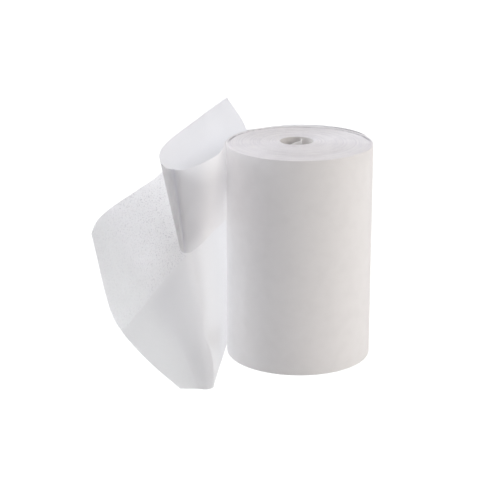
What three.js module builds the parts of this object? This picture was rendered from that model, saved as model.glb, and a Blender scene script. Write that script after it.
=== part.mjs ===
// Roll of adhesive fixation tape, stood on its end, with its loose end opened out to the left.
// The tape is a white nonwoven, 100 mm wide, with its adhesive on the face that lies inside the roll.
// A release paper covers the adhesive and is slit along its length. The lower half is still on the
// loose end. The upper half is peeled off, comes forward beside the roll and turns back on itself.
// Millimetres, +Z up. The tables below place the roll's axis at x 0, y 0, with the front view along +Y.
// At the end the whole part is moved so that the origin is under the middle of its footprint.
import * as THREE from 'three';

const tapeWidth = 100;
const sheetThickness = 1.0;
const layerGap = 0.45;

const white = { cloth: 0xeeefef, adhesive: 0xe9edf0, paper: 0xf2f1ec };

// The wound roll is round in front and a little flattened at the back.
const roll = {
  radius: 33.2,
  backDepth: 31.0,
  holeRadius: 7.6,
  holeX: -0.6,
  holeY: 2.5,
  rimRound: 0.6,
  sides: 72,
  holeSides: 32,
};

function rollOutline(degrees, offset) {
  const angle = THREE.MathUtils.degToRad(degrees);
  const depth = Math.sin(angle) > 0 ? roll.backDepth : roll.radius;
  const onRoll = new THREE.Vector2(roll.radius * Math.cos(angle), depth * Math.sin(angle));
  const outwards = new THREE.Vector2(depth * Math.cos(angle), roll.radius * Math.sin(angle)).normalize();
  return onRoll.addScaledVector(outwards, offset);
}

function named(name, geometry, color, roughness) {
  const material = new THREE.MeshStandardMaterial({ color, roughness, metalness: 0 });
  const mesh = new THREE.Mesh(geometry, material);
  mesh.name = name;
  return mesh;
}

function woundRoll() {
  const around = (count, point) => Array.from({ length: count }, (_, i) => point((360 * i) / count));
  const shape = new THREE.Shape(around(roll.sides, (angle) => rollOutline(angle, -roll.rimRound)));
  const holeWall = roll.holeRadius + roll.rimRound;
  const hole = around(roll.holeSides, (angle) => {
    const radians = THREE.MathUtils.degToRad(-angle);
    return new THREE.Vector2(
      roll.holeX + holeWall * Math.cos(radians),
      roll.holeY + holeWall * Math.sin(radians),
    );
  });
  shape.holes.push(new THREE.Path(hole));
  const geometry = new THREE.ExtrudeGeometry(shape, {
    depth: tapeWidth - 2 * roll.rimRound,
    bevelThickness: roll.rimRound,
    bevelSize: roll.rimRound,
    bevelSegments: 2,
  });
  geometry.translate(0, 0, roll.rimRound);
  return named('wound_roll', geometry, white.cloth, 0.85);
}

// A sheet is a grid of sections along its length, u, and of points across its width, v.
// The solid lies between two offsets from that face, and none of it reaches under the floor.
function sheetSolid(face, lengthSteps, widthSteps, innerOffset, outerOffset) {
  const small = 1e-3;
  const positions = [];
  const index = [];
  const rowLength = widthSteps + 1;
  const layerSize = (lengthSteps + 1) * rowLength;
  for (const offset of [outerOffset, innerOffset]) {
    for (let i = 0; i <= lengthSteps; i += 1) {
      for (let j = 0; j <= widthSteps; j += 1) {
        const u = i / lengthSteps;
        const v = j / widthSteps;
        const point = face(u, v);
        const along = face(Math.min(u + small, 1), v).sub(face(Math.max(u - small, 0), v));
        const across = face(u, Math.min(v + small, 1)).sub(face(u, Math.max(v - small, 0)));
        const normal = along.cross(across).normalize();
        point.addScaledVector(normal, offset);
        positions.push(point.x, point.y, Math.max(point.z, 0));
      }
    }
  }
  const at = (layer, i, j) => layer * layerSize + i * rowLength + j;
  const quad = (a, b, c, d) => index.push(a, b, c, a, c, d);
  for (let i = 0; i < lengthSteps; i += 1) {
    for (let j = 0; j < widthSteps; j += 1) {
      quad(at(0, i, j), at(0, i + 1, j), at(0, i + 1, j + 1), at(0, i, j + 1));
      quad(at(1, i, j), at(1, i, j + 1), at(1, i + 1, j + 1), at(1, i + 1, j));
    }
    quad(at(0, i, 0), at(1, i, 0), at(1, i + 1, 0), at(0, i + 1, 0));
    const edge = widthSteps;
    quad(at(0, i, edge), at(0, i + 1, edge), at(1, i + 1, edge), at(1, i, edge));
  }
  for (let j = 0; j < widthSteps; j += 1) {
    quad(at(0, 0, j), at(0, 0, j + 1), at(1, 0, j + 1), at(1, 0, j));
    const end = lengthSteps;
    quad(at(0, end, j), at(1, end, j), at(1, end, j + 1), at(0, end, j + 1));
  }
  const geometry = new THREE.BufferGeometry();
  geometry.setAttribute('position', new THREE.Float32BufferAttribute(positions, 3));
  geometry.setIndex(index);
  geometry.computeVertexNormals();
  return geometry;
}

// A table has a row for each section and a point for each of its named columns.
function sections(columns, table) {
  return table.map((row) => Object.fromEntries(columns.map((column, k) => [column, row[k]])));
}

// Each rail is a smooth line through the same column of every row, and a section joins the rails.
function faceThrough(rows, columns, alongFrom = 0, acrossTo = 1) {
  const rails = columns.map((column) => {
    const points = rows.map((row) => new THREE.Vector3(...row[column]));
    return new THREE.CatmullRomCurve3(points, false, 'centripetal');
  });
  return (u, v) => {
    const along = THREE.MathUtils.lerp(alongFrom, 1, u);
    const points = rails.map((rail) => rail.getPoint(along));
    return new THREE.CatmullRomCurve3(points, false, 'centripetal').getPoint(v * acrossTo);
  };
}

// The outermost turn has come loose round the back of the roll and bulges off it a little there.
const looseTurn = {
  fromAngle: 20,
  toAngle: 97,
  stepAngle: 11,
  startOffset: 0.4,
  endOffset: 2.1,
  bulge: 1.2,
  waist: 30,
  slit: 60,
  shoulder: 72,
};

function looseTurnRows() {
  const rows = [];
  const span = looseTurn.toAngle - looseTurn.fromAngle;
  for (let angle = looseTurn.fromAngle; angle <= looseTurn.toAngle; angle += looseTurn.stepAngle) {
    const share = (angle - looseTurn.fromAngle) / span;
    const layers = THREE.MathUtils.lerp(looseTurn.startOffset, looseTurn.endOffset, share);
    const { x, y } = rollOutline(angle, layers + looseTurn.bulge * Math.sin(Math.PI * share));
    rows.push({
      foot: [x, y, 0],
      waist: [x, y, looseTurn.waist],
      slit: [x, y, looseTurn.slit],
      shoulder: [x, y, looseTurn.shoulder],
      top: [x, y, tapeWidth],
    });
  }
  return rows;
}

// The loose end after that, on its adhesive face. It stands on the floor along its foot. Above the
// slit in the paper the bare tape is limp and leans back. The last row is the cut end of the tape.
const tapeColumns = ['foot', 'waist', 'slit', 'shoulder', 'top'];
const looseEndRows = sections(tapeColumns, [
  [[-14.3, 30.3, 0], [-14.3, 30.3, 30], [-14.3, 30.3, 60], [-14.7, 31.0, 72], [-15.6, 32.7, 98.7]],
  [[-24.6, 24.0, 0], [-24.6, 24.0, 30], [-24.7, 24.1, 60.2], [-25.8, 26.0, 72], [-28.6, 31.5, 97.2]],
  [[-31.3, 15.8, 0], [-31.3, 15.8, 30], [-31.5, 15.9, 60.6], [-34.3, 18.8, 71.6], [-42.0, 27.4, 95.6]],
  [[-34.4, 8.0, 0], [-34.5, 8.0, 30], [-34.9, 7.9, 61.2], [-39.2, 10.4, 71.4], [-52.0, 17.6, 93.8]],
  [[-35.4, 0.5, 0], [-35.5, 0.4, 30.5], [-36.4, 0.2, 61.8], [-41.6, 1.7, 71.0], [-57.6, 6.0, 91.6]],
  [[-35.9, -10, 0], [-36.6, -10, 31], [-38.9, -9.2, 62.2], [-44.6, -6.4, 70.8], [-60.3, -4.0, 89.3]],
  [[-37.0, -24, 0], [-38.5, -23.5, 31.2], [-42.1, -22.0, 62.4], [-47.9, -17.2, 70.6], [-63.4, -12.8, 87.9]],
  [[-38.1, -35, 0], [-40.7, -34.6, 31.2], [-45.4, -33.4, 62.4], [-51.2, -27.0, 70.4], [-67.0, -19.0, 86.5]],
  [[-38.6, -42, 0], [-42.5, -42.2, 31], [-47.6, -41.4, 62.2], [-53.8, -34.0, 69.6], [-71.0, -22.4, 84.7]],
  [[-39.8, -46, 0], [-44.6, -46.8, 30.4], [-50.0, -46.8, 61.2], [-57.2, -38.8, 68.0], [-75.2, -25.0, 82.4]],
  [[-42.3, -47.5, 0], [-48.6, -48.2, 28.6], [-55.1, -48.2, 55.4], [-62.2, -41.6, 63.0], [-80.2, -27.2, 79.5]],
  [[-45.6, -47.9, 0], [-54.0, -48.6, 25.0], [-62.0, -48.5, 47.6], [-68.4, -43.4, 56.2], [-84.8, -28.6, 76.4]],
  [[-49.2, -48.0, 0], [-60.4, -48.4, 19.0], [-69.8, -48.2, 37.6], [-75.6, -45.0, 45.4], [-88.9, -29.4, 72.6]],
  [[-52.6, -47.8, 0.4], [-66.7, -47.6, 12.6], [-77.6, -46.8, 26.6], [-82.6, -46.2, 34.6], [-92.3, -29, 68]],
]);
const tapeRows = [...looseTurnRows(), ...looseEndRows];
const stepsPerRow = 3;
const tapeStepsAcross = 8;

function looseEnd() {
  const face = faceThrough(tapeRows, tapeColumns);
  const steps = (tapeRows.length - 1) * stepsPerRow;
  const geometry = sheetSolid(face, steps, tapeStepsAcross, 0, sheetThickness);
  return named('loose_end_tape', geometry, white.adhesive, 0.8);
}

// The lower half of the paper lies on the adhesive from behind the roll to the cut end.
const lowerPaper = { stepsAcross: 4, shareOfWidth: 0.49 };

function lowerPaperHalf() {
  const firstRow = tapeRows.length - looseEndRows.length;
  const from = firstRow / (tapeRows.length - 1);
  const face = faceThrough(tapeRows, tapeColumns, from, lowerPaper.shareOfWidth);
  const steps = (looseEndRows.length - 1) * stepsPerRow;
  const outer = -layerGap;
  const inner = outer - sheetThickness;
  const geometry = sheetSolid(face, steps, lowerPaper.stepsAcross, inner, outer);
  return named('lower_paper_half', geometry, white.paper, 0.6);
}

// The upper half of the paper comes forward beside the roll, turns sharply and goes back inside the
// loop of the tape. Its turn is a cone with the point at the bottom. Its cut end rises over the roll.
const paperColumns = ['low', 'middle', 'high'];
const upperPaperRows = sections(paperColumns, [
  [[-32.8, 7.7, 62.6], [-32.8, 7.7, 81], [-32.8, 7.7, 99.4]],
  [[-33.7, 2.2, 62.8], [-33.7, 2.2, 81.2], [-33.7, 2.2, 99.5]],
  [[-34.9, -3.5, 63], [-34.4, -3.8, 81.3], [-33.9, -4, 99.7]],
  [[-37.1, -11, 63], [-35.8, -11.5, 81.5], [-34.5, -12, 99.9]],
  [[-39.7, -20.2, 63], [-38, -21.1, 81.5], [-36.3, -22, 100]],
  [[-43, -33, 63], [-41.5, -32.1, 81.5], [-39.9, -31.2, 100]],
  [[-46, -42.4, 63], [-45.3, -41.3, 81.5], [-44.6, -40.2, 100]],
  [[-48.6, -47.8, 63], [-48.9, -47.3, 81.5], [-49.2, -46.8, 100]],
  [[-50.4, -49.8, 63.4], [-51.5, -49.3, 81.7], [-52.6, -48.8, 100]],
  [[-51.8, -50, 64.4], [-54.1, -48.7, 82.2], [-56.4, -47.4, 100]],
  [[-52.4, -48.8, 65.4], [-55.9, -44.9, 82.7], [-59.4, -41, 100]],
  [[-52, -46, 66.8], [-56.7, -38.5, 83.3], [-61.4, -31, 99.9]],
  [[-50.8, -41.8, 68], [-56.5, -31.6, 84], [-62.1, -21.5, 99.9]],
  [[-48.4, -34, 69.2], [-55, -23.2, 84.7], [-61.6, -12.5, 100.2]],
  [[-45, -23.5, 70.6], [-51.8, -13, 86.1], [-58.6, -2.5, 101.6]],
  [[-41.6, -12, 72.2], [-47.5, -3.8, 88.3], [-53.3, 4.5, 104.4]],
  [[-38.6, -2.5, 74], [-43.5, 3, 90.5], [-48.5, 8.5, 107.1]],
  [[-35.9, 6, 75.8], [-39.8, 8.8, 93], [-43.6, 11.5, 110.2]],
  [[-31.5, 16.5, 78.5], [-34.2, 16.2, 96.6], [-38.7, 14, 113.3]],
  [[-20.6, 28.2, 84], [-24.6, 23.8, 101.6], [-32.9, 16, 116.4]],
]);
const upperPaperStepsAcross = 4;

function upperPaperHalf() {
  const face = faceThrough(upperPaperRows, paperColumns);
  const steps = (upperPaperRows.length - 1) * stepsPerRow;
  const geometry = sheetSolid(face, steps, upperPaperStepsAcross, 0, sheetThickness);
  return named('upper_paper_half', geometry, white.paper, 0.6);
}

// The first end of the tape crosses the hole in the middle of the roll.
const innerEnd = { bottom: 0.5, top: 99.2, stepsAlong: 10, stepsAcross: 1 };
const innerEndPlan = [[-4.5, -3.4], [-3.3, -0.6], [-1.7, 2.0], [0.2, 4.6], [1.2, 7.4]];

function innerEndSheet() {
  const { bottom, top, stepsAlong, stepsAcross } = innerEnd;
  const rows = innerEndPlan.map(([x, y]) => ({ low: [x, y, bottom], high: [x, y, top] }));
  const face = faceThrough(rows, ['low', 'high']);
  const half = sheetThickness / 2;
  const geometry = sheetSolid(face, stepsAlong, stepsAcross, -half, half);
  return named('inner_end', geometry, white.cloth, 0.85);
}

const part = new THREE.Group();
part.add(woundRoll(), innerEndSheet(), looseEnd(), lowerPaperHalf(), upperPaperHalf());

const bounds = new THREE.Box3().setFromObject(part, true);
const middle = bounds.getCenter(new THREE.Vector3());
part.position.set(-middle.x, -middle.y, -bounds.min.z);

export default part;
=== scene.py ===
# A roll of white adhesive fixation tape, stood on its end, with its loose end opened out and one
# half of its slit release paper peeled off. Metres, +Z up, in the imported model's own frame.
import math
import random

import bpy
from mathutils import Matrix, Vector, noise


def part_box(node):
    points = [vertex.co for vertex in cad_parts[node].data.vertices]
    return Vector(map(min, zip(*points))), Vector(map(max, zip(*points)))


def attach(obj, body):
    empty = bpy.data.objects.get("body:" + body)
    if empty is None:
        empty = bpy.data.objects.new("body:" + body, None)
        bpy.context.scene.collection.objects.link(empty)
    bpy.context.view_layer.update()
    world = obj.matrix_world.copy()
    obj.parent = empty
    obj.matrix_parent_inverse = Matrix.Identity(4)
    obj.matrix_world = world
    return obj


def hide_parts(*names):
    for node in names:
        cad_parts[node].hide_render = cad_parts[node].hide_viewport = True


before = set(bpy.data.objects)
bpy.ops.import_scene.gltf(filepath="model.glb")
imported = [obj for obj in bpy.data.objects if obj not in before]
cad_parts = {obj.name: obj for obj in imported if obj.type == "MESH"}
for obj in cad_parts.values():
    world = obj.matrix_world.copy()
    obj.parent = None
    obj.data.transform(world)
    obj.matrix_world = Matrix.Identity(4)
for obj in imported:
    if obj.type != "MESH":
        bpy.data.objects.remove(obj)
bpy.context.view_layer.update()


# The camera looks down on the roll from the front, a little left of its axis. Its place and lens
# were fitted to the outlines of the roll's two ends in the photograph.
MM = 0.001
ROLL_RADIUS = 33.2 * MM
roll_low, roll_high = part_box("wound_roll")
AXIS = Vector((roll_low.x + ROLL_RADIUS, roll_low.y + ROLL_RADIUS, 0))
CAMERA_FROM_AXIS = Vector((-22.4, -725, 282.3)) * MM
CAMERA_DOWN = math.radians(17.85)
FRAME_PIXELS = 500
FOCAL_PIXELS = 1656
SENSOR_WIDTH = 36

bpy.ops.object.camera_add(
    location=AXIS + CAMERA_FROM_AXIS,
    rotation=(math.radians(90) - CAMERA_DOWN, 0, 0),
)
camera = bpy.context.object
camera.data.sensor_width = SENSOR_WIDTH
camera.data.lens = SENSOR_WIDTH * FOCAL_PIXELS / FRAME_PIXELS
bpy.context.scene.camera = camera


# The wound roll is tape and paper wound together with no core. Its side is the nonwoven's back.
# Each end shows the edges of the turns, a little uneven, and the open hole.
TAPE_WIDTH = 100 * MM
BACK_DEPTH = 31.0 * MM
HOLE_RADIUS = 7.6 * MM
HOLE_FROM_AXIS = Vector((-1.3, 2.5)) * MM
TURNS = 74
TURN_UNEVEN = 0.07 * MM
TURN_SEED = 11
EDGE_STARTS = 0.25
EDGE_STOPS = 0.85
GROOVE_DEPTH = 0.16 * MM
WAVE_SIZE = 9 * MM
WAVE_DEPTH = 1.6 * TURN_UNEVEN
WAVES_ACROSS = 9
RIM_ROUND = 0.5 * MM
RIM_STEPS = 4
RIM_FROM = 0.97
ROLL_SIDES = 160
SIDE_ROWS = 12
WHITE_CLOTH = (0.945, 0.94, 0.945, 1)
# The hole's wall is a darker copy of the cloth: painted shade inside the hole.
HOLE_PAINTED_SHADE = (0.89, 0.88, 0.86, 1)
# The lighter tone of the ends: partly the turns' own uneven tone, partly painted glints.
TURN_EDGE_AND_GLINT = (0.94, 0.94, 0.935, 1)
TURN_SHADE = (0.84, 0.84, 0.85, 1)
# Painted shade for the gap under the outermost turns at the back.
GAP_PAINTED_SHADE = (0.45, 0.45, 0.47, 1)
# The gap under the outermost turns at the back, in millimetres from the axis.
GAP_RADIUS = 32.2
GAP_SHIFT = 2.2
GAP_HALF_WIDTH = 0.45
GAP_DEPTH = 1.0 * MM
SIDE, ENDS, HOLE = range(3)


class Value:
    """A shader socket that adds, subtracts and multiplies as a number does."""

    def __init__(self, finish, socket):
        self.finish = finish
        self.socket = socket

    def maths(self, operation, *terms):
        settings = {"operation": operation}
        return self.finish.node("ShaderNodeMath", settings, dict(enumerate(terms)))

    def __add__(self, other):
        return self.maths("ADD", self, other)

    def __sub__(self, other):
        return self.maths("SUBTRACT", self, other)

    def __rsub__(self, other):
        return self.maths("SUBTRACT", other, self)

    def __mul__(self, other):
        return self.maths("MULTIPLY", self, other)

    __radd__ = __add__
    __rmul__ = __mul__

    def between(self, low, high):
        """0 at low, 1 at high and smooth between them, whichever of the two is larger."""
        settings = {"interpolation_type": "SMOOTHSTEP"}
        return self.finish.node("ShaderNodeMapRange", settings, {0: self, 1: low, 2: high})


class Finish:
    """One material, its nodes and its surface shader."""

    def __init__(self, name, **surface):
        self.material = bpy.data.materials.new(name)
        self.material.use_nodes = True
        self.tree = self.material.node_tree
        self.shader = self.tree.nodes["Principled BSDF"]
        self.set(self.shader, surface)

    def set(self, node, sockets):
        for name, value in sockets.items():
            if isinstance(name, str):
                name = name.replace("_", " ")
            if isinstance(value, Value):
                self.tree.links.new(value.socket, node.inputs[name])
            else:
                node.inputs[name].default_value = value

    def node(self, kind, settings, sockets, output=0):
        made = self.tree.nodes.new(kind)
        for name, value in settings.items():
            setattr(made, name, value)
        self.set(made, sockets)
        return Value(self, made.outputs[output])

    def place(self):
        return self.node("ShaderNodeTexCoord", {}, {}, "Object")

    def attribute(self, name):
        return self.node("ShaderNodeAttribute", {"attribute_name": name}, {}, "Fac")

    def stretched(self, vector, scale):
        return self.node("ShaderNodeMapping", {}, {"Vector": vector, "Scale": scale})

    def noise(self, vector, scale, detail=2.0, roughness=0.5):
        sockets = {"Vector": vector, "Scale": scale, "Detail": detail, "Roughness": roughness}
        return self.node("ShaderNodeTexNoise", {"noise_dimensions": "3D"}, sockets)

    def tinted(self, colour, tones):
        """A colour with tones laid over it in turn, each with the share that covers it."""
        for share, tone in tones:
            sockets = {0: share, 6: colour, 7: tone}
            colour = self.node("ShaderNodeMix", {"data_type": "RGBA"}, sockets, 2)
        return colour

    def bump(self, height, strength, distance):
        sockets = {"Height": height, "Strength": strength, "Distance": distance}
        return self.node("ShaderNodeBump", {}, sockets)

    def surface(self, **sockets):
        self.set(self.shader, sockets)

    def translucent(self, colour, normal):
        return self.node("ShaderNodeBsdfTranslucent", {}, {"Color": colour, "Normal": normal})

    def mix_shaders(self, share, first, second):
        return self.node("ShaderNodeMixShader", {}, {0: share, 1: first, 2: second})

    def let_light_through(self, share, colour, tones, normal):
        """Thin cloth and paper pass a share of the light on their other face, in their tones."""
        through = self.translucent(colour, normal)
        for cover, tone in tones:
            through = self.mix_shaders(cover, through, self.translucent(tone, normal))
        mixed = self.mix_shaders(share, Value(self, self.shader.outputs[0]), through)
        self.tree.links.new(mixed.socket, self.tree.nodes["Material Output"].inputs["Surface"])


def darker(colour, factor):
    return tuple(factor * part for part in colour[:3]) + (1,)


def piece_from(name, points, edges=(), faces=()):
    """A new object at the origin, made active, with its place in its mesh."""
    mesh = bpy.data.meshes.new(name)
    mesh.from_pydata([tuple(point) for point in points], list(edges), list(faces))
    made = bpy.data.objects.new(name, mesh)
    bpy.context.collection.objects.link(made)
    bpy.ops.object.select_all(action="DESELECT")
    made.select_set(True)
    bpy.context.view_layer.objects.active = made
    return made


def end_profile(height, outwards, rng):
    """The edges of the turns from the hole to the rim, as (radius, height) points."""
    pitch = (ROLL_RADIUS - RIM_ROUND - HOLE_RADIUS) / TURNS
    points = []
    for turn in range(TURNS):
        inner = HOLE_RADIUS + turn * pitch
        edge = height - outwards * abs(rng.gauss(0, TURN_UNEVEN))
        points.append((inner, edge - outwards * GROOVE_DEPTH))
        points.append((inner + EDGE_STARTS * pitch, edge))
        points.append((inner + EDGE_STOPS * pitch, edge))
    return points


def rim(height, outwards):
    """The rounded rim between an end and the side."""
    points = []
    for step in range(RIM_STEPS + 1):
        angle = math.radians(90 - 90 * step / RIM_STEPS)
        radius = ROLL_RADIUS - RIM_ROUND + RIM_ROUND * math.cos(angle)
        points.append((radius, height - outwards * RIM_ROUND * (1 - math.sin(angle))))
    return points


turn_random = random.Random(TURN_SEED)
bottom = end_profile(0, -1, turn_random) + rim(0, -1)
top = end_profile(TAPE_WIDTH, 1, turn_random) + rim(TAPE_WIDTH, 1)
side = [(ROLL_RADIUS, TAPE_WIDTH * row / SIDE_ROWS) for row in range(1, SIDE_ROWS)]
hole_side = [(HOLE_RADIUS, TAPE_WIDTH * (1 - row / SIDE_ROWS)) for row in range(1, SIDE_ROWS)]
profile = bottom + side + top[::-1] + hole_side
ring = [(i, (i + 1) % len(profile)) for i in range(len(profile))]
roll = piece_from("roll", [AXIS + Vector((r, 0, z)) for r, z in profile], ring)
bpy.ops.object.mode_set(mode="EDIT")
bpy.ops.mesh.select_all(action="SELECT")
bpy.ops.mesh.spin(steps=ROLL_SIDES, angle=math.tau, center=AXIS, axis=(0, 0, 1))
bpy.ops.mesh.select_all(action="SELECT")
bpy.ops.mesh.remove_doubles(threshold=0.002 * MM)
bpy.ops.mesh.normals_make_consistent(inside=False)
bpy.ops.object.mode_set(mode="OBJECT")

# The turns shift towards the hole, which sits off the axis, and flatten at the back.
turn_radii = []
turn_backs = []
for vertex in roll.data.vertices:
    out = (vertex.co - AXIS).to_2d()
    height = vertex.co.z
    back = out.y / ROLL_RADIUS
    turn_radii.append(out.length / MM)
    turn_backs.append(back)
    share = (out.length - HOLE_RADIUS) / (ROLL_RADIUS - HOLE_RADIUS)
    wave = noise.noise(Vector((out.x, out.y, out.length * WAVES_ACROSS)) / WAVE_SIZE)
    if height > TAPE_WIDTH / 2:
        if abs(out.length / MM + back * GAP_SHIFT - GAP_RADIUS) < GAP_HALF_WIDTH:
            height -= max(back, 0) * GAP_DEPTH
        if 0 < share < RIM_FROM:
            height -= (0.5 + wave) * WAVE_DEPTH
    if out.y > 0:
        out.y *= 1 + share * (BACK_DEPTH / ROLL_RADIUS - 1)
    out += HOLE_FROM_AXIS * (1 - share)
    vertex.co = AXIS + Vector((out.x, out.y, height))
for name, values in (("turn", turn_radii), ("backwards", turn_backs)):
    roll.data.attributes.new(name, "FLOAT", "POINT").data.foreach_set("value", values)


def nonwoven(name, white, light_through=0):
    """Soft fibres pressed into a thin cloth. Off the roll, it can let light through."""
    made = Finish(name, Roughness=0.8, Sheen_Weight=0.15, Sheen_Roughness=0.6)
    along_fibres = made.stretched(made.place(), (1, 1, 0.35))
    fibres = made.noise(along_fibres, scale=3200, detail=4, roughness=0.65)
    clouds = made.noise(made.place(), scale=180, detail=3)
    relief = made.bump(fibres + clouds * 0.4, strength=0.25, distance=0.1 * MM)
    clouded = (clouds.between(0.3, 0.75), darker(white, 0.97))
    if light_through:
        off_roll = made.attribute("along").between(0, 0.25)
        tones = [(off_roll, white), clouded]
        made.surface(Base_Color=made.tinted(WHITE_CLOTH, tones), Normal=relief)
        made.let_light_through(off_roll * light_through, WHITE_CLOTH, tones, relief)
    else:
        made.surface(Base_Color=made.tinted(white, [clouded]), Normal=relief)
    return made


cloth = nonwoven("roll_cloth", WHITE_CLOTH)
# The hole's wall gets the darker cloth, painted shade inside the hole.
hole_cloth_painted_shade = nonwoven("hole_cloth_painted_shade", HOLE_PAINTED_SHADE)
turn_edges = Finish("wound_edges", Roughness=0.7)
turn = turn_edges.attribute("turn")
behind = turn_edges.attribute("backwards")
band = turn_edges.node(
    "ShaderNodeTexNoise", {"noise_dimensions": "1D"}, {"W": turn, "Scale": 1.3, "Detail": 4}
)
patches = turn_edges.noise(turn_edges.place(), scale=160, detail=2)
glints = turn_edges.noise(turn_edges.place(), scale=1500, detail=3, roughness=0.75)
# The ends are lighter where the turns' tone varies and, in fine flecks, as painted glints.
edge_tone_and_glints = (band + patches * 0.6 + glints * 0.8).between(1.0, 1.35)
# A thin dark ring at the back of the top end is painted shade in the gap under the outermost turns.
from_gap = turn + behind * GAP_SHIFT - GAP_RADIUS
gap = from_gap.between(-1.1, -0.3) - from_gap.between(0.2, 0.8)
edge_tones = [(edge_tone_and_glints, TURN_EDGE_AND_GLINT), (gap * behind.between(-0.1, 0.3), GAP_PAINTED_SHADE)]
turn_edges.surface(
    Base_Color=turn_edges.tinted(TURN_SHADE, edge_tones),
    Roughness=0.75 - glints.between(0.55, 0.7) * 0.45,
    Normal=turn_edges.bump(glints, strength=0.7, distance=0.15 * MM),
)
for finish in (cloth, turn_edges, hole_cloth_painted_shade):
    roll.data.materials.append(finish.material)
for face in roll.data.polygons:
    if abs(face.normal.z) > 0.3:
        face.material_index = ENDS
    elif turn_radii[face.vertices[0]] < HOLE_RADIUS / MM + 0.1:
        face.material_index = HOLE
    else:
        face.material_index = SIDE
bpy.ops.object.shade_smooth_by_angle(angle=math.radians(35))
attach(roll, "root")
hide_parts("wound_roll")


# The first end of the tape crosses the hole. It is a thin sheet on edge and joins the first turn.
# It was folded over the winding spindle and kept that bend.
TAPE_THICKNESS = 0.3 * MM
INNER_END_PLAN = [(-4.5, -3.4), (-3.3, -0.6), (-1.7, 2.0), (0.2, 4.6), (1.2, 7.4), (0.8, 9.7)]
INNER_END_FOOT = 0.5
INNER_END_TOP = 99.2
INNER_WHITE = (0.98, 0.98, 0.98, 1)
INNER_LIGHT_THROUGH = 0.5


def smooth_line(points, share):
    """The point at a share, 0 to 1, of a centripetal Catmull-Rom line through the points."""
    at = share * (len(points) - 1)
    index = min(int(at), len(points) - 2)
    t = at - index
    p1 = points[index]
    p2 = points[index + 1]
    p0 = points[index - 1] if index > 0 else 2 * p1 - p2
    p3 = points[index + 2] if index + 2 < len(points) else 2 * p2 - p1
    d0, d1, d2 = (max((b - a).length ** 0.5, 1e-6) for a, b in ((p0, p1), (p1, p2), (p2, p3)))
    start = ((p1 - p0) / d0 - (p2 - p0) / (d0 + d1) + (p2 - p1) / d1) * d1
    end = ((p2 - p1) / d1 - (p3 - p1) / (d1 + d2) + (p3 - p2) / d2) * d1
    bend = 3 * (p2 - p1) - 2 * start - end
    return p1 + start * t + bend * t**2 + (2 * (p1 - p2) + start + end) * t**3


def place_row(row):
    """A table's row of points from the roll's axis, in millimetres, as places in the frame."""
    return [AXIS + Vector(point) * MM for point in row]


def sheet_through(name, rows, steps, across, first=0.0, share=1.0, relief=None):
    """A sheet's middle face: rails along the rows' columns, joined by a smooth line across.

    It starts at the first share of the rails' length and covers a share of their width.
    """
    rails = list(zip(*rows))
    points = []
    for i in range(steps + 1):
        along = first + (1 - first) * i / steps
        section = [smooth_line(rail, along) for rail in rails]
        points += [smooth_line(section, share * j / across) for j in range(across + 1)]
    width = across + 1
    faces = []
    for i in range(steps):
        for j in range(across):
            corner = i * width + j
            faces.append((corner, corner + width, corner + width + 1, corner + 1))
    made = piece_from(name, points, faces=faces)
    shares = [first + (1 - first) * (i // width) / steps for i in range(len(points))]
    made.data.attributes.new("along", "FLOAT", "POINT").data.foreach_set("value", shares)
    if relief:
        dents = [relief(shares[i], share * (i % width) / across) for i in range(len(points))]
        moves = [vertex.normal * dent for vertex, dent in zip(made.data.vertices, dents)]
        for vertex, move in zip(made.data.vertices, moves):
            vertex.co += move
        depths = [dent / MM for dent in dents]
        made.data.attributes.new("dent", "FLOAT", "POINT").data.foreach_set("value", depths)
    return made


def distance_to_line(point, start, end):
    along = end - start
    share = min(max((point - start).dot(along) / along.length_squared, 0), 1)
    return (point - start - along * share).length


def creases(length, width, folds):
    """The relief of soft folds: each a line of (along, across) shares, its depth and its reach."""
    def depth_at(along, across):
        here = Vector((along * length, across * width))
        depth = 0
        for line, deep, reach in folds:
            line = [Vector((u * length, v * width)) for u, v in line]
            near = min(distance_to_line(here, a, b) for a, b in zip(line, line[1:]))
            depth += deep * math.exp(-((near / reach) ** 2))
        return depth

    return depth_at


def give_thickness(piece, thickness, offset, far_slot=0):
    """Offset -1 lays the thickness behind the face, 1 in front of it. None goes under the floor."""
    solidify = piece.modifiers.new("thickness", "SOLIDIFY")
    solidify.thickness = thickness
    solidify.offset = offset
    solidify.material_offset = far_slot
    bpy.ops.object.modifier_apply(modifier=solidify.name)
    for vertex in piece.data.vertices:
        vertex.co.z = max(vertex.co.z, 0)
    bpy.ops.object.shade_smooth_by_angle(angle=math.radians(40))


inner_rows = [
    place_row([(x, y, INNER_END_FOOT), (x, y, INNER_END_TOP)]) for x, y in INNER_END_PLAN
]
inner_end = sheet_through("inner_end_of_tape", inner_rows, steps=40, across=8)
give_thickness(inner_end, TAPE_THICKNESS, offset=0)
inner_cloth = nonwoven("inner_cloth", INNER_WHITE, INNER_LIGHT_THROUGH)
inner_end.data.materials.append(inner_cloth.material)
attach(inner_end, "root")
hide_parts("inner_end")


# The loose end of the tape is thin nonwoven with its adhesive on the face towards the roll. It
# comes off the back of the roll and forward beside it, bends left and ends in its cut end.
# The loosened turn: degrees round the roll from its right side, and millimetres off the roll.
LOOSE_FROM = 20
LOOSE_STEP = 11
LOOSE_ROWS = 8
LOOSE_START_OFFSET = -0.3
LOOSE_END_OFFSET = 2.1
LOOSE_BULGE = 1.2
WAIST_HEIGHT = 30
SLIT_HEIGHT = 60
SHOULDER_HEIGHT = 72
BACK_WHITE = (0.998, 0.998, 0.998, 1)
ADHESIVE_WHITE = (0.996, 0.996, 1, 1)
FILM_WHITE = (0.987, 0.987, 0.994, 1)
# Painted shade along the cut end of the tape.
CUT_END_PAINTED_SHADE = (0.956, 0.961, 0.956, 1)
TAPE_LIGHT_THROUGH = 0.93
FIBRE_SHADE = (0.68, 0.68, 0.70, 1)


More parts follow.
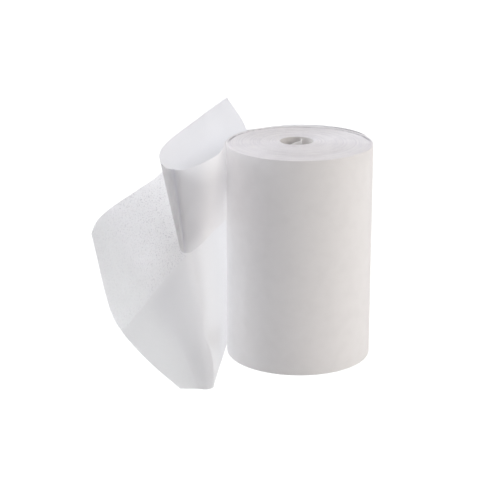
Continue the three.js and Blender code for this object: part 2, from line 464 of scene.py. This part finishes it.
def loose_turn():
    heights = (0, WAIST_HEIGHT, SLIT_HEIGHT, SHOULDER_HEIGHT, TAPE_WIDTH / MM)
    rows = []
    for step in range(LOOSE_ROWS):
        angle = math.radians(LOOSE_FROM + LOOSE_STEP * step)
        share = step / (LOOSE_ROWS - 1)
        along = Vector((math.cos(angle), math.sin(angle)))
        on_roll = Vector((along.x * ROLL_RADIUS, along.y * BACK_DEPTH)) / MM
        out = Vector((along.x * BACK_DEPTH, along.y * ROLL_RADIUS)).normalized()
        offset = LOOSE_START_OFFSET + share * (LOOSE_END_OFFSET - LOOSE_START_OFFSET)
        x, y = on_roll + out * (offset + LOOSE_BULGE * math.sin(math.pi * share))
        rows.append([(x, y, height) for height in heights])
    return rows


# Columns: foot, waist, slit, shoulder and top of the tape. A row for each section along it.
TAPE_ROWS = [
    [(-14.3, 30.3, 0), (-14.3, 30.3, 30), (-14.3, 30.3, 60), (-14.7, 31, 72), (-15.6, 32.7, 98.7)],
    [(-24.6, 24, 0), (-24.6, 24, 30), (-24.7, 24.1, 60.2), (-25.8, 26, 72), (-28.6, 31.5, 97.2)],
    [(-31.3, 15.8, 0), (-31.3, 15.8, 30), (-31.5, 15.9, 60.6), (-34.3, 18.8, 71.6), (-42, 27.4, 95.6)],
    [(-33.2, 8, 0), (-33.4, 8, 30), (-34.2, 7.9, 61.2), (-39.2, 10.4, 71.4), (-52, 17.6, 93.8)],
    [(-34.1, 0.5, 0), (-34.4, 0.4, 30.5), (-35.9, 0.2, 61.8), (-41.6, 1.7, 71), (-57.6, 6, 91.6)],
    [(-35.1, -10, 0), (-35.9, -10, 31), (-38.9, -9.2, 62.2), (-44.6, -6.4, 70.8), (-60.3, -4, 89.3)],
    [(-36.6, -24, 0), (-38.2, -23.5, 31.2), (-42.1, -22, 62.4), (-47.9, -17.2, 70.6), (-63.4, -12.8, 87.9)],
    [(-37.8, -35.5, 0), (-40.7, -34.6, 31.2), (-45.4, -33.4, 62.4), (-51.2, -27, 70.4), (-67, -19, 86.5)],
    [(-39.2, -43.4, 0), (-42.5, -42.2, 31), (-47.6, -41.4, 62.2), (-53.8, -34, 69.6), (-71, -22.4, 84.7)],
    [(-40.3, -46.7, 0), (-44.6, -46.8, 30.4), (-50, -46.8, 61.2), (-57.2, -38.8, 68), (-75.2, -25, 82.4)],
    [(-42.3, -47.9, 0), (-48.6, -48.2, 28.6), (-55.1, -48.2, 55.4), (-62.2, -41.6, 63), (-80.2, -27.2, 79.5)],
    [(-45.6, -47.9, 0), (-54, -48.6, 25), (-62, -48.5, 47.6), (-68.4, -43.4, 56.2), (-84.8, -28.6, 76.4)],
    [(-49.2, -48, 0), (-60.4, -48.4, 19), (-69.8, -48.2, 37.6), (-75.6, -45, 45.4), (-89.8, -29.4, 71.5)],
    [(-53.2, -48, 0), (-66.7, -47.6, 12.6), (-78.3, -46.8, 26.3), (-82.7, -46.2, 34.4), (-92.3, -29.5, 65.9)],
]
tape_rows = [place_row(row) for row in loose_turn() + TAPE_ROWS]
# The wing bulges forward beside its ridge, and the wall has a dent along its foot.
TAPE_FOLDS = [
    ([(0.872, 0.40), (0.867, 0.367), (0.857, 0.275), (0.82, 0.10)], -3.0 * MM, 12 * MM),
    ([(0.80, 0.192), (0.743, 0.167), (0.70, 0.142), (0.648, 0.10)], 1.2 * MM, 5 * MM),
]
tape_relief = creases(180 * MM, TAPE_WIDTH, TAPE_FOLDS)
tape = sheet_through("loose_tape", tape_rows, steps=252, across=48, relief=tape_relief)

# Flecks of fibre show through the film of adhesive. They come in clusters and thin out near the cut.
adhesive = Finish("tape_adhesive", Roughness=0.5)
along_streaks = adhesive.stretched(adhesive.place(), (1, 1, 0.5))
streaks = adhesive.noise(along_streaks, scale=2000, detail=3, roughness=0.75)
specks = adhesive.noise(adhesive.place(), scale=2600, detail=1, roughness=0.6)
clusters = adhesive.noise(adhesive.place(), scale=220, detail=2)
along = adhesive.attribute("along")
near_cut = along.between(0.80, 0.97)
flecked = (clusters.between(0.2, 0.65) * 0.6 + 0.4) * (1.0 - near_cut * 0.75)
# The adhesive turns greyer along the cut end: painted shade.
adhesive_tones = [
    (streaks.between(0.60, 0.48) * flecked, FILM_WHITE),
    (along.between(0.90, 0.95), CUT_END_PAINTED_SHADE),
    (streaks.between(0.46, 0.36) * flecked, FIBRE_SHADE),
]
adhesive_relief = adhesive.bump(streaks + specks * 0.5, strength=1.0, distance=0.9 * MM)
adhesive.surface(
    Base_Color=adhesive.tinted(ADHESIVE_WHITE, adhesive_tones),
    Roughness=0.6 - specks.between(0.5, 0.68) * 0.4,
    Normal=adhesive_relief,
)
passed = along.between(0, 0.25) * TAPE_LIGHT_THROUGH
adhesive.let_light_through(passed, ADHESIVE_WHITE, adhesive_tones, adhesive_relief)
tape_back = nonwoven("tape_back", BACK_WHITE, TAPE_LIGHT_THROUGH)
tape.data.materials.append(tape_back.material)
tape.data.materials.append(adhesive.material)
give_thickness(tape, TAPE_THICKNESS, offset=1, far_slot=1)
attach(tape, "root")
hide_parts("loose_end_tape")


# The lower half of the release paper still lies on the adhesive, from behind the roll to the cut
# end. It is smooth coated paper, slit along the tape, and takes the tape's folds.
PAPER_THICKNESS = 0.15 * MM
LAID_WHITE = (0.998, 0.998, 0.998, 1)
# Painted shade on the laid paper: along the tape's fold, and at the dent by its foot beside the roll.
FOLD_PAINTED_SHADE = (0.945, 0.945, 0.947, 1)
FOOT_PAINTED_SHADE = (0.94, 0.934, 0.93, 1)
SLIT_SHARE = 0.5
LAID_LIGHT_THROUGH = 0.90
first_row = (len(tape_rows) - len(TAPE_ROWS)) / (len(tape_rows) - 1)
lower_paper = sheet_through(
    "lower_paper",
    tape_rows,
    steps=200,
    across=30,
    first=first_row,
    share=SLIT_SHARE,
    relief=tape_relief,
)
give_thickness(lower_paper, PAPER_THICKNESS, offset=-1)


def release_paper(name, white, light_through, attribute_tones):
    """Smooth coated paper with a faint cloudy grain.

    Each tone is an attribute of the sheet, the range in which it sets in, and its colour.
    """
    made = Finish(name, Roughness=0.45)
    grain = made.noise(made.place(), scale=700, detail=4, roughness=0.6)
    tones = [(grain.between(0.3, 0.7), darker(white, 0.99))]
    for attribute, low, high, tone in attribute_tones:
        tones.append((made.attribute(attribute).between(low, high), tone))
    relief = made.bump(grain, strength=0.08, distance=0.1 * MM)
    colour = made.tinted(white, tones)
    made.surface(Base_Color=colour, Roughness=0.42 + grain * 0.15, Normal=relief)
    made.let_light_through(light_through, white, tones, relief)
    return made


# The laid paper is greyer along the tape's fold and at the dent by its foot: painted shade.
laid_tones = [("dent", -0.8, -2.4, FOLD_PAINTED_SHADE), ("dent", 0.1, 1.3, FOOT_PAINTED_SHADE)]
laid_paper = release_paper("laid_paper", LAID_WHITE, LAID_LIGHT_THROUGH, laid_tones)
lower_paper.data.materials.append(laid_paper.material)
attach(lower_paper, "root")
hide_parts("lower_paper_half")


# The upper half of the release paper is peeled off. It comes forward beside the roll, turns on
# itself in a cone with its point at the bottom, and goes back inside the loop of the tape.
PEELED_WHITE = (0.99, 0.985, 0.98, 1)
# Painted shade on the peeled paper, from where it comes forward to its end.
PEELED_PAINTED_SHADE = (0.882, 0.882, 0.888, 1)
# Painted shade along the crease of the peeled paper.
CREASE_PAINTED_SHADE = (0.85, 0.85, 0.87, 1)
PEELED_LIGHT_THROUGH = 0.86
# Columns: low, middle and high edge of the strip. A row for each section along it.
UPPER_PAPER_ROWS = [
    [(-32.8, 7.7, 62.6), (-32.8, 7.7, 81), (-32.8, 7.7, 99.4)],
    [(-33.7, 2.2, 62.8), (-33.7, 2.2, 81.2), (-33.7, 2.2, 99.5)],
    [(-34.9, -3.5, 63), (-34.4, -3.8, 81.3), (-33.9, -4, 99.7)],
    [(-37.1, -11, 63), (-35.8, -11.5, 81.5), (-34.5, -12, 99.9)],
    [(-39.7, -20.2, 63), (-38, -21.1, 81.5), (-36.3, -22, 100)],
    [(-43, -33, 63), (-41.5, -32.1, 81.5), (-39.9, -31.2, 100)],
    [(-46, -42.4, 63), (-45.3, -41.3, 81.5), (-44.6, -40.2, 100)],
    [(-48.6, -47.8, 63), (-48.9, -47.3, 81.5), (-49.2, -46.8, 100)],
    [(-50.4, -49.8, 63.4), (-51.5, -49.3, 81.7), (-52.6, -48.8, 100)],
    [(-51.8, -50, 64.4), (-54.2, -49.2, 82.3), (-56.5, -48.1, 100.2)],
    [(-52.4, -49, 65.4), (-56.1, -46.4, 83), (-59.6, -43.4, 100.8)],
    [(-52, -46, 66.8), (-56.8, -39.5, 83.5), (-61.4, -32, 100.2)],
    [(-50.8, -41.8, 68), (-56.5, -31.6, 84), (-62.1, -21.5, 99.9)],
    [(-48.4, -34, 69.2), (-55, -23.2, 84.7), (-61.6, -12.5, 100.2)],
    [(-45, -23.5, 70.6), (-51.8, -13, 86.1), (-58.6, -2.5, 101.6)],
    [(-41.6, -12, 72.2), (-47.5, -3.8, 88.3), (-53.3, 4.5, 104.4)],
    [(-38.6, -2.5, 74), (-43.5, 3, 90.5), (-48.5, 8.5, 107.1)],
    [(-35.9, 6, 75.8), (-39.8, 8.8, 93), (-43.6, 11.5, 110.2)],
    [(-31.5, 16.5, 78.5), (-34.2, 16.2, 96.6), (-38.7, 14, 113.3)],
    [(-20.6, 28.2, 84), (-24.6, 23.8, 101.6), (-32.9, 16, 117)],
]
paper_rows = [place_row(row) for row in UPPER_PAPER_ROWS]
# One crease runs down the front of the cone. The darker line along it is painted shade.
PAPER_FOLDS = [([(0.455, 1.05), (0.447, 0.733), (0.427, 0.35), (0.40, 0)], 1.2 * MM, 3.0 * MM)]
paper_relief = creases(150 * MM, 37 * MM, PAPER_FOLDS)
upper_paper = sheet_through("upper_paper", paper_rows, steps=228, across=24, relief=paper_relief)
give_thickness(upper_paper, PAPER_THICKNESS, offset=0)
# The peeled paper is greyer from where it comes forward on, and darker along its crease: both painted shade.
peeled_tones = [("along", 0.22, 0.35, PEELED_PAINTED_SHADE), ("dent", 0.3, 1.2, CREASE_PAINTED_SHADE)]
peeled_paper = release_paper("peeled_paper", PEELED_WHITE, PEELED_LIGHT_THROUGH, peeled_tones)
upper_paper.data.materials.append(peeled_paper.material)
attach(upper_paper, "root")
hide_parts("upper_paper_half")


# A white studio: soft lamps behind and on the left light the sheets through, and a warmer one is on
# the right. The camera sees a pure white ground. Another floor, hidden from it, gives light back.
FLOOR_WHITE = (0.6, 0.6, 0.6, 1)
FLOOR_GLOW = 0.35
FLOOR_SIDE = 6
LAMP_AIM = Vector((0, 0, 0.05))
LAMP_AWAY = 1.0
LAMP_SIZE = 0.6
# Each lamp: degrees round to the right from the front, degrees up, watts and colour.
LAMPS = {
    "right": (65, 10, 4.1, (1, 0.922, 0.833)),
    "far_right": (110, 10, 1.08, (0.961, 0.981, 1)),
    "behind": (170, 10, 2.84, (0.928, 0.949, 1)),
    "behind_left": (-135, 10, 4.42, (0.946, 0.961, 1)),
    "left": (-90, 10, 2.7, (0.97, 0.982, 1)),
    "left_high": (-90, 40, 1.47, (0.986, 0.993, 1)),
    "above_right": (90, 75, 3.1, (0.978, 0.964, 1)),
    "above_left": (-90, 75, 3.3, (1, 0.935, 0.989)),
}


def floor_plane(name, glow):
    bpy.ops.mesh.primitive_plane_add(size=FLOOR_SIDE)
    made = bpy.context.object
    made.name = name
    finish = Finish(name, Base_Color=FLOOR_WHITE, Roughness=0.9, Emission_Color=(1, 1, 1, 1))
    finish.surface(Emission_Strength=glow)
    made.data.materials.append(finish.material)
    return made


floor = floor_plane("floor", FLOOR_GLOW)
floor.visible_camera = False
ground = floor_plane("white_ground", 1)
ground.visible_diffuse = False
ground.visible_glossy = False
ground.visible_transmission = False
ground.visible_shadow = False

world = bpy.data.worlds.new("studio")
world.use_nodes = True
world.node_tree.nodes["Background"].inputs["Color"].default_value = (1, 1, 1, 1)
world.node_tree.nodes["Background"].inputs["Strength"].default_value = 0
bpy.context.scene.world = world
for name, (around, up, power, colour) in LAMPS.items():
    around, up = math.radians(around), math.radians(up)
    away = Vector((math.sin(around) * math.cos(up), -math.cos(around) * math.cos(up), math.sin(up)))
    turned = away.to_track_quat("Z", "Y").to_euler()
    bpy.ops.object.light_add(type="AREA", location=LAMP_AIM + away * LAMP_AWAY, rotation=turned)
    lamp = bpy.context.object
    lamp.name = f"lamp_{name}"
    lamp.data.size = LAMP_SIZE
    lamp.data.energy = power
    lamp.data.color = colour
bpy.context.scene.view_settings.view_transform = "Standard"
# Light passes several thin sheets on its way.
bpy.context.scene.cycles.max_bounces = 16
bpy.context.scene.cycles.diffuse_bounces = 12
bpy.context.scene.cycles.transmission_bounces = 12
